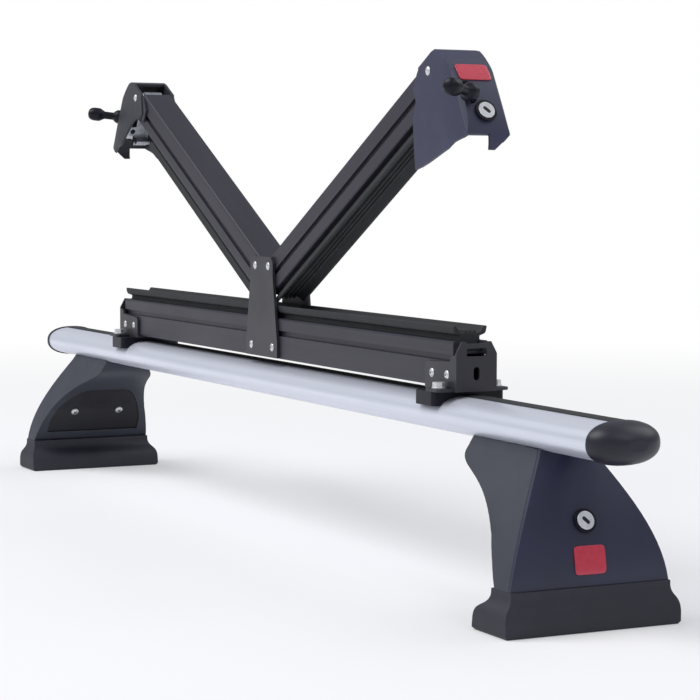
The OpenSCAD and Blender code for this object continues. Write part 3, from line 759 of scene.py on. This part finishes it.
class HeadShape:
    """The photograph's head, whose side walls draw in beside the arm. The solids' walls run straight."""

    top_depth: float = 35.4 * MM
    flare: tuple[float, float] = (12 * MM, 50 * MM)
    wall: float = 2.65 * MM
    core: float = 15 * MM
    slice_step: float = 2 * MM

    def __init__(self, end: End) -> None:
        """Measures how deep the solid head is along the arm.

        Args:
            end: The arm's end of the bar.
        """
        self.pivot = Vector(joint(f"arm_{end.word}_fold")["pos_m"])
        self.along = Vector(joint(f"head_plug_{end.word}_turn")["axis"]).normalized()
        self.up = Vector((-self.along.z * end.side, 0, self.along.x * end.side))
        source = merged_copy(f"head_{end.word}")
        ways = [self._way(v.co) for v in source.verts]
        slices = int((max(ways) - min(ways)) / self.slice_step)
        cuts = [min(ways) + self.slice_step * i for i in range(1, slices)]
        self.planes = [(self.pivot + self.along * way, self.along) for way in cuts]
        self.planes += [(self.pivot - self.up * drop, self.up) for drop in self.flare]
        cut(source, self.planes)
        self.solid = []
        for way in cuts:
            depths = [abs(v.co.y) for v in source.verts if abs(self._way(v.co) - way) < ON_PLANE]
            self.solid.append((way, max(depths)))
        source.free()

    def _way(self, place: Vector) -> float:
        """How far along the arm a point lies from the pivot."""
        return (place - self.pivot).dot(self.along)

    def draw(self, made: bmesh.types.BMesh) -> None:
        """Draws the walls in, and with them what is fixed to them.

        Args:
            made: The mesh of the head, or of a pin in its walls.
        """
        cut(made, self.planes)
        high, low = self.flare
        for vert in made.verts:
            drop = (self.pivot - vert.co).dot(self.up)
            outer = between(self.solid, self._way(vert.co))[0]
            open_share = min(max((drop - high) / (low - high), 0.0), 1.0)
            wanted = min(outer, self.top_depth / 2 + (outer - self.top_depth / 2) * open_share)
            depth = abs(vert.co.y)
            if depth > outer - self.wall:
                depth += wanted - outer
            elif depth > self.core:
                squeeze = (wanted - self.wall - self.core) / (outer - self.wall - self.core)
                depth = self.core + (depth - self.core) * squeeze
            vert.co.y = math.copysign(depth, vert.co.y)


@dataclass
class BadgePlate:
    """A bare plate with round corners that lies on a curved face."""

    width: float
    height: float
    thickness: float = 0.9 * MM
    gap: float = 0.05 * MM
    edge: float = 0.3 * MM
    corner_power: float = 9.0
    cells: int = 14

    def build(self, name: str, onto: str, centre: Vector, across: Vector, up: Vector,
              finish: bpy.types.Material, slot: str) -> None:
        """Lays the plate on a CAD node.

        Args:
            name: The piece's name.
            onto: The node that the plate lies on.
            centre: A point outside the face, in line with the plate's middle.
            across: The plate's width direction.
            up: The plate's height direction.
            finish: The plate's material.
            slot: Not used.
        """
        inward = -across.cross(up).normalized()
        under = merged_copy(onto)
        tree = BVHTree.FromBMesh(under)
        under.free()
        made = bmesh.new()
        bmesh.ops.create_grid(made, x_segments=self.cells, y_segments=self.cells, size=1.0)
        for vert in made.verts:
            u, v = vert.co.x, vert.co.y
            reach = max(abs(u), abs(v))
            spread = (abs(u) ** self.corner_power + abs(v) ** self.corner_power) ** (1 / self.corner_power)
            pull = reach / spread if spread else 0.0
            start = centre + across * (u * pull * self.width / 2) + up * (v * pull * self.height / 2)
            hit = tree.ray_cast(start, inward)[0]
            vert.co = hit - inward * self.gap
        bmesh.ops.recalc_face_normals(made, faces=made.faces)
        if made.faces[0].normal.dot(inward) > 0:
            bmesh.ops.reverse_faces(made, faces=made.faces)
        plate = piece(name, made, finish)
        solid = plate.modifiers.new("thickness", "SOLIDIFY")
        solid.thickness = self.thickness
        solid.offset = 1.0
        soften(plate, self.edge)
        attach(plate, body_of(onto))
        LOG.info("%s laid", name)


@dataclass
class LockFace:
    """The bright face of a lock plug, with its keyway as a near-black slab of painted shade."""

    radius: float = 6.6 * MM
    thickness: float = 0.7 * MM
    lift: float = 1.45 * MM
    chamfer: float = 0.35 * MM
    edge: float = 0.05 * MM
    steps: int = 40
    keyway: tuple[float, float] = (1.5 * MM, 3.4 * MM)
    keyway_depth: float = 0.3 * MM
    keyway_rise: float = 0.05 * MM
    keyway_turn: float = math.radians(45.0)
    keyway_steps: int = 24

    def build(self, plug: str, seat: float, finishes: Finishes) -> None:
        """Lays the face and its keyway on a plug.

        Args:
            plug: The plug's node, which has a turning joint of the same name.
            seat: How far the barrel's back plane lies out from the joint, in metres.
            finishes: The object's finishes.
        """
        turning = joint(f"{plug}_turn")
        axis = Vector(turning["axis"]).normalized()
        centre = Vector(turning["pos_m"]) + axis * (seat + self.lift)
        stand = Matrix.Translation(centre) @ axis.to_track_quat("Z", "Y").to_matrix().to_4x4()
        disc = bmesh.new()
        bmesh.ops.create_cone(disc, cap_ends=True, segments=self.steps, radius1=self.radius,
                              radius2=self.radius, depth=self.thickness)
        bmesh.ops.translate(disc, verts=disc.verts, vec=(0, 0, self.thickness / 2))
        rim = [e for e in disc.edges if all(v.co.z > self.thickness / 2 for v in e.verts)]
        bmesh.ops.bevel(disc, geom=rim, offset=self.chamfer, segments=3, profile=0.5, affect="EDGES",
                        material=-1)
        # The keyway slab takes the near-black finish: painted shade where the real slot is hollow
        parts = (("face", disc, finishes.lock, "lock"), ("keyway", self._keyway(), finishes.recess, "trim"))
        for part, made, finish, slot in parts:
            bmesh.ops.transform(made, matrix=stand, verts=made.verts)
            thing = piece(f"{plug}_{part}", made, finish)
            soften(thing, self.edge)
            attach(thing, body_of(plug))
        LOG.info("%s face laid", plug)

    def _keyway(self) -> bmesh.types.BMesh:
        """Makes the keyway as a near-black slab, painted shade for the hollow slot, with its mouth just proud of
        the face.

        Returns:
            The keyway, about the middle of the face's back.
        """
        made = bmesh.new()
        bmesh.ops.create_cone(made, cap_ends=True, segments=self.keyway_steps, radius1=1.0, radius2=1.0,
                              depth=self.keyway_depth)
        wide, tall = self.keyway
        for vert in made.verts:
            vert.co.y = vert.co.y * wide + math.copysign(max(tall - wide, 0.0), vert.co.y)
            vert.co.x *= wide
        middle = self.thickness + self.keyway_rise - self.keyway_depth / 2
        bmesh.ops.translate(made, verts=made.verts, vec=(0, 0, middle))
        bmesh.ops.rotate(made, verts=made.verts, matrix=Matrix.Rotation(self.keyway_turn, 3, "Z"))
        return made


@dataclass
class HeadMarks:
    """Small darker marks in the middle of fastener heads: mandrel stubs of darker steel, and cross recesses as
    proud crosses whose dark colour is painted shade.
    """

    finish: bpy.types.Material
    radius: float = 1.0 * MM
    taper: float = 0.8
    steps: int = 12
    arm: float = 2.1 * MM
    arm_width: float = 0.84 * MM
    depth: float = 0.4 * MM
    sink: float = 0.12 * MM
    crown: float = 0.3 * MM

    def build(self, node: str, outward: Callable[[Vector], Vector], cross: bool,
              draw: Callable[[bmesh.types.BMesh], None] | None = None) -> None:
        """Marks every fastener of a node.

        Args:
            node: The fasteners' node.
            outward: Gives the direction that a fastener's head faces, from its middle.
            cross: Whether the mark is a cross recess and not a mandrel stub.
            draw: Moves the fasteners as in the piece that stands for them.
        """
        source = merged_copy(node)
        if draw is not None:
            draw(source)
        made = bmesh.new()
        for group in islands(source):
            points = [v.co for v in group]
            way = outward(sum(points, Vector()) / len(points))
            top = max(p.dot(way) for p in points)
            cap = [p for p in points if p.dot(way) > top - self.crown]
            place = sum(cap, Vector()) / len(cap)
            place += way * (top - place.dot(way))
            self._mark(made, place, way, cross)
        source.free()
        thing = piece(node + "_marks", made, self.finish)
        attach(thing, body_of(node))
        LOG.info("%s marked", node)

    def _mark(self, made: bmesh.types.BMesh, place: Vector, way: Vector, cross: bool) -> None:
        """Adds one mark.

        Args:
            made: The mesh that takes it.
            place: The top of the fastener's head.
            way: The direction that the head faces.
            cross: Whether the mark is a cross.
        """
        turned = way.to_track_quat("Z", "Y").to_matrix().to_4x4()
        stand = Matrix.Translation(place - way * self.sink) @ turned
        if not cross:
            bmesh.ops.create_cone(made, cap_ends=True, segments=self.steps, radius1=self.radius,
                                  radius2=self.radius * self.taper, depth=self.depth, matrix=stand)
            return
        size = Matrix.Diagonal((2 * self.arm, self.arm_width, self.depth, 1.0))
        for turn in (math.radians(45), math.radians(135)):
            bmesh.ops.create_cube(made, size=1.0, matrix=stand @ Matrix.Rotation(turn, 4, "Z") @ size)


@dataclass
class RoofBar:
    """The aluminium bar, its caps and the strips in its slot."""

    finishes: Finishes

    def build(self) -> None:
        """Dresses the bar's nodes."""
        dressed("crossbar", self.finishes.bar, 0.3 * MM)
        for end in End:
            dressed(f"end_cap_{end.word}", self.finishes.cap, 0.5 * MM)
        for place in ("near", "mid", "far"):
            dressed(f"slot_strip_{place}", self.finishes.rubber, 0.2 * MM)


@dataclass
class Foot:
    """One locking foot of the bar."""

    finishes: Finishes
    end: End
    shape: FootShape
    plate: BadgePlate = field(default_factory=lambda: BadgePlate(25 * MM, 19.5 * MM))
    plate_height: float = 49 * MM
    stand_off: float = 50 * MM

    def build(self) -> None:
        """Dresses the foot and lays its badge plate."""
        word, side = self.end.word, self.end.side
        dressed(f"foot_tower_{word}", self.finishes.tower, 0.8 * MM, self.shape.draw)
        dressed(f"foot_cover_{word}", self.finishes.cover, 2.8 * MM)
        dressed(f"foot_pad_{word}", self.finishes.pad, 1.2 * MM, self.shape.draw_pad)
        dressed(f"foot_panel_{word}", self.finishes.panel, 0.5 * MM, self.shape.draw_panel)
        dressed(f"foot_plug_{word}", self.finishes.lock, 0.2 * MM)
        LockFace().build(f"foot_plug_{word}", 0.4 * MM, self.finishes)
        cover = f"foot_cover_{word}"
        reach = max(abs(corner.x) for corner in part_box(cover))
        centre = Vector((side * (reach + self.stand_off), 0, self.plate_height))
        self.plate.build(f"foot_badge_{word}", cover, centre, Vector((0, side, 0)), UP,
                         self.finishes.plate, "cover")


@dataclass
class Clamp:
    """The ski rail with its brackets, plates and fasteners."""

    finishes: Finishes
    shapes: dict[End, FootShape]
    panel_lean: float = math.radians(52.2)

    def build(self) -> None:
        """Dresses the clamp's fixed nodes."""
        done = self.finishes
        dressed("ski_rail", done.rail, 0.4 * MM)
        dressed("rail_rubber", done.rubber, 0.4 * MM)
        for end in End:
            dressed(f"end_bracket_{end.word}", done.bracket, 0.4 * MM)
            dressed(f"saddle_{end.word}", done.trim, 0.5 * MM)
        for side in ("front", "rear"):
            dressed(f"centre_plate_{side}", done.bracket, 0.4 * MM)
        for node in ("end_rivets", "ear_bolts", "slot_bolts", "slot_nuts", "plate_rivets", "pivot_pins",
                     "foot_bolts", "foot_nuts"):
            dressed(node, done.steel, 0.25 * MM)
        dressed("panel_screws", done.steel, 0.25 * MM, self._slide_screws)
        dressed("foot_barrels", done.trim, 0.3 * MM)
        marks = HeadMarks(done.mark)
        for node in ("end_rivets", "plate_rivets"):
            marks.build(node, self._side_way, False)
        marks.build("panel_screws", self._panel_way, True, self._slide_screws)

    def _slide_screws(self, made: bmesh.types.BMesh) -> None:
        """Moves the inner panels' screws with the panels.

        Args:
            made: The screws' mesh.
        """
        for group in islands(made):
            end = End.NEAR if group[0].co.x > 0 else End.FAR
            self.shapes[end].slide(group)

    @staticmethod
    def _side_way(middle: Vector) -> Vector:
        """The way that a rivet faces: to the front or to the rear."""
        return Vector((0, math.copysign(1, middle.y), 0))

    def _panel_way(self, middle: Vector) -> Vector:
        """The way that an inner panel's screw faces.

        Args:
            middle: The screw's middle.

        Returns:
            The direction.
        """
        lean = self.panel_lean
        return Vector((-math.copysign(math.sin(lean), middle.x), 0, -math.cos(lean)))


@dataclass
class Arm:
    """One folding arm with its head, latch and lock."""

    finishes: Finishes
    end: End
    plate: BadgePlate = field(default_factory=lambda: BadgePlate(27 * MM, 15.2 * MM))
    plate_drop: float = 22.2 * MM
    plate_start: float = 430 * MM

    def build(self) -> None:
        """Dresses the arm's nodes and lays the head's badge plate."""
        word, done = self.end.word, self.finishes
        dressed(f"arm_{word}", done.arm[self.end], 0.3 * MM)
        dressed(f"arm_rubber_{word}", done.rubber, 0.4 * MM)
        dressed(f"arm_bush_{word}", done.bush, 0.3 * MM)
        shape = HeadShape(self.end)
        dressed(f"head_{word}", done.head[self.end], 0.8 * MM, shape.draw)
        for node in ("head_pin", "latch_pin"):
            dressed(f"{node}_{word}", done.steel, 0.15 * MM, shape.draw)
        dressed(f"latch_spring_{word}", done.steel, 0.15 * MM)
        dressed(f"latch_{word}", done.zinc, 0.6 * MM)
        dressed(f"knob_{word}", done.trim, 0.5 * MM)
        dressed(f"head_barrel_{word}", done.trim, 0.3 * MM)
        dressed(f"head_plug_{word}", done.lock, 0.2 * MM)
        LockFace().build(f"head_plug_{word}", 0.6 * MM, done)
        self._badge()

    def _badge(self) -> None:
        """Lays the bare plate on the head's outer face."""
        pivot = Vector(joint(f"arm_{self.end.word}_fold")["pos_m"])
        along = Vector(joint(f"head_plug_{self.end.word}_turn")["axis"])
        up = Vector((-along.z * self.end.side, 0, along.x * self.end.side))
        across = up.cross(along)
        centre = pivot + along * self.plate_start - up * self.plate_drop
        self.plate.build(f"head_badge_{self.end.word}", f"head_{self.end.word}", centre, across, up,
                         self.finishes.plate, "head")


@dataclass
class Studio:
    """The camera at the photograph's angle, the pale floor and the soft light."""

    eye: Vector = field(default_factory=lambda: Vector((1.8187, -0.8310, 0.3059)))
    heading: float = 63.65
    pitch: float = -4.186
    roll: float = -0.157
    lens: float = 116.19
    sensor: float = 36.0
    floor_size: float = 14.0
    floor_colour: tuple[float, ...] = (0.86, 0.86, 0.88, 1.0)
    fade: Range = (0.5, 2.6)
    glow_near: float = 0.25
    white: tuple[float, ...] = (1.0, 1.0, 1.0, 1.0)
    sky_colour: tuple[float, ...] = (0.93, 0.95, 1.0, 1.0)
    sky_strength: float = 0.42
    lit: Vector = field(default_factory=lambda: Vector((0, 0, 0.2)))

    def build(self) -> None:
        """Makes the camera, the floor and the lights."""
        self._camera()
        self._floor()
        self._world()
        self._lamp("key", Vector((-0.7, -2.1, 2.9)), 2.4, 90.0)
        self._lamp("fill", Vector((2.3, 0.3, 2.8)), 2.0, 18.0)
        self._lamp("rim", Vector((0.2, 2.4, 2.4)), 2.0, 22.0)
        bpy.context.scene.view_settings.view_transform = "Standard"

    def _camera(self) -> None:
        """Sets the camera where the photograph was taken from, turned to the object."""
        data = bpy.data.cameras.new("camera")
        data.lens = self.lens
        data.sensor_width = self.sensor
        camera = bpy.data.objects.new("camera", data)
        turn = Matrix.Rotation(math.radians(self.heading), 4, "Z")
        tilt = Matrix.Rotation(math.radians(90 + self.pitch), 4, "X")
        roll = Matrix.Rotation(math.radians(-self.roll), 4, "Z")
        camera.matrix_world = Matrix.Translation(self.eye) @ turn @ tilt @ roll
        bpy.context.scene.collection.objects.link(camera)
        bpy.context.scene.camera = camera

    def _floor(self) -> None:
        """Lays a pale floor that fades to white away from the object."""
        tree = Tree("floor_pale")
        rays = tree.node("ShaderNodeLightPath")
        seen = rays[0] + rays[3]
        where = tree.node("ShaderNodeTexCoord")[3]
        far = tree.node("ShaderNodeVectorMath", {"operation": "LENGTH"}, {0: where})[0].step(*self.fade)
        share = seen * (far * (1 - self.glow_near) + self.glow_near)
        paint = tree.node("ShaderNodeBsdfDiffuse", {}, {"Color": self.floor_colour})[0]
        glow = tree.node("ShaderNodeEmission", {}, {"Color": self.white, "Strength": 1.0})[0]
        whole = tree.node("ShaderNodeMixShader", {}, {0: share, 1: paint, 2: glow})[0]
        tree.node("ShaderNodeOutputMaterial", {}, {"Surface": whole})
        made = bmesh.new()
        bmesh.ops.create_grid(made, x_segments=1, y_segments=1, size=self.floor_size)
        floor = piece("floor", made, tree.material)

    def _world(self) -> None:
        """Lights the scene evenly, and shows white behind it."""
        world = bpy.data.worlds.new("studio")
        world.use_nodes = True
        bpy.context.scene.world = world
        nodes, links = world.node_tree.nodes, world.node_tree.links
        nodes.clear()
        rays = nodes.new("ShaderNodeLightPath")
        soft = nodes.new("ShaderNodeBackground")
        soft.inputs["Color"].default_value = self.sky_colour
        soft.inputs["Strength"].default_value = self.sky_strength
        seen = nodes.new("ShaderNodeBackground")
        seen.inputs["Strength"].default_value = 1.0
        seen.inputs["Color"].default_value = self.white
        both = nodes.new("ShaderNodeMixShader")
        out = nodes.new("ShaderNodeOutputWorld")
        links.new(rays.outputs["Is Camera Ray"], both.inputs[0])
        links.new(soft.outputs[0], both.inputs[1])
        links.new(seen.outputs[0], both.inputs[2])
        links.new(both.outputs[0], out.inputs["Surface"])

    def _lamp(self, name: str, place: Vector, size: float, power: float) -> None:
        """Adds a large soft lamp that faces the object.

        Args:
            name: The lamp's name.
            place: Where it stands, in metres.
            size: Its width, in metres.
            power: Its power, in watts.
        """
        data = bpy.data.lights.new(name, "AREA")
        data.size = size
        data.energy = power
        lamp = bpy.data.objects.new(name, data)
        lamp.location = place
        lamp.rotation_euler = (self.lit - place).to_track_quat("-Z", "Y").to_euler()
        bpy.context.scene.collection.objects.link(lamp)


def main() -> None:
    """Builds the finishes, the studio and the sub-assemblies, in that order."""
    logging.basicConfig(level=logging.INFO, format="%(message)s")
    finishes = Finishes()
    Studio().build()
    shapes = {end: FootShape(end) for end in End}
    steps: list[Callable[[], None]] = [RoofBar(finishes).build, Clamp(finishes, shapes).build]
    for end in End:
        steps += [Foot(finishes, end, shapes[end]).build, Arm(finishes, end).build]
    for step in steps:
        step()


if __name__ == "__main__":
    main()
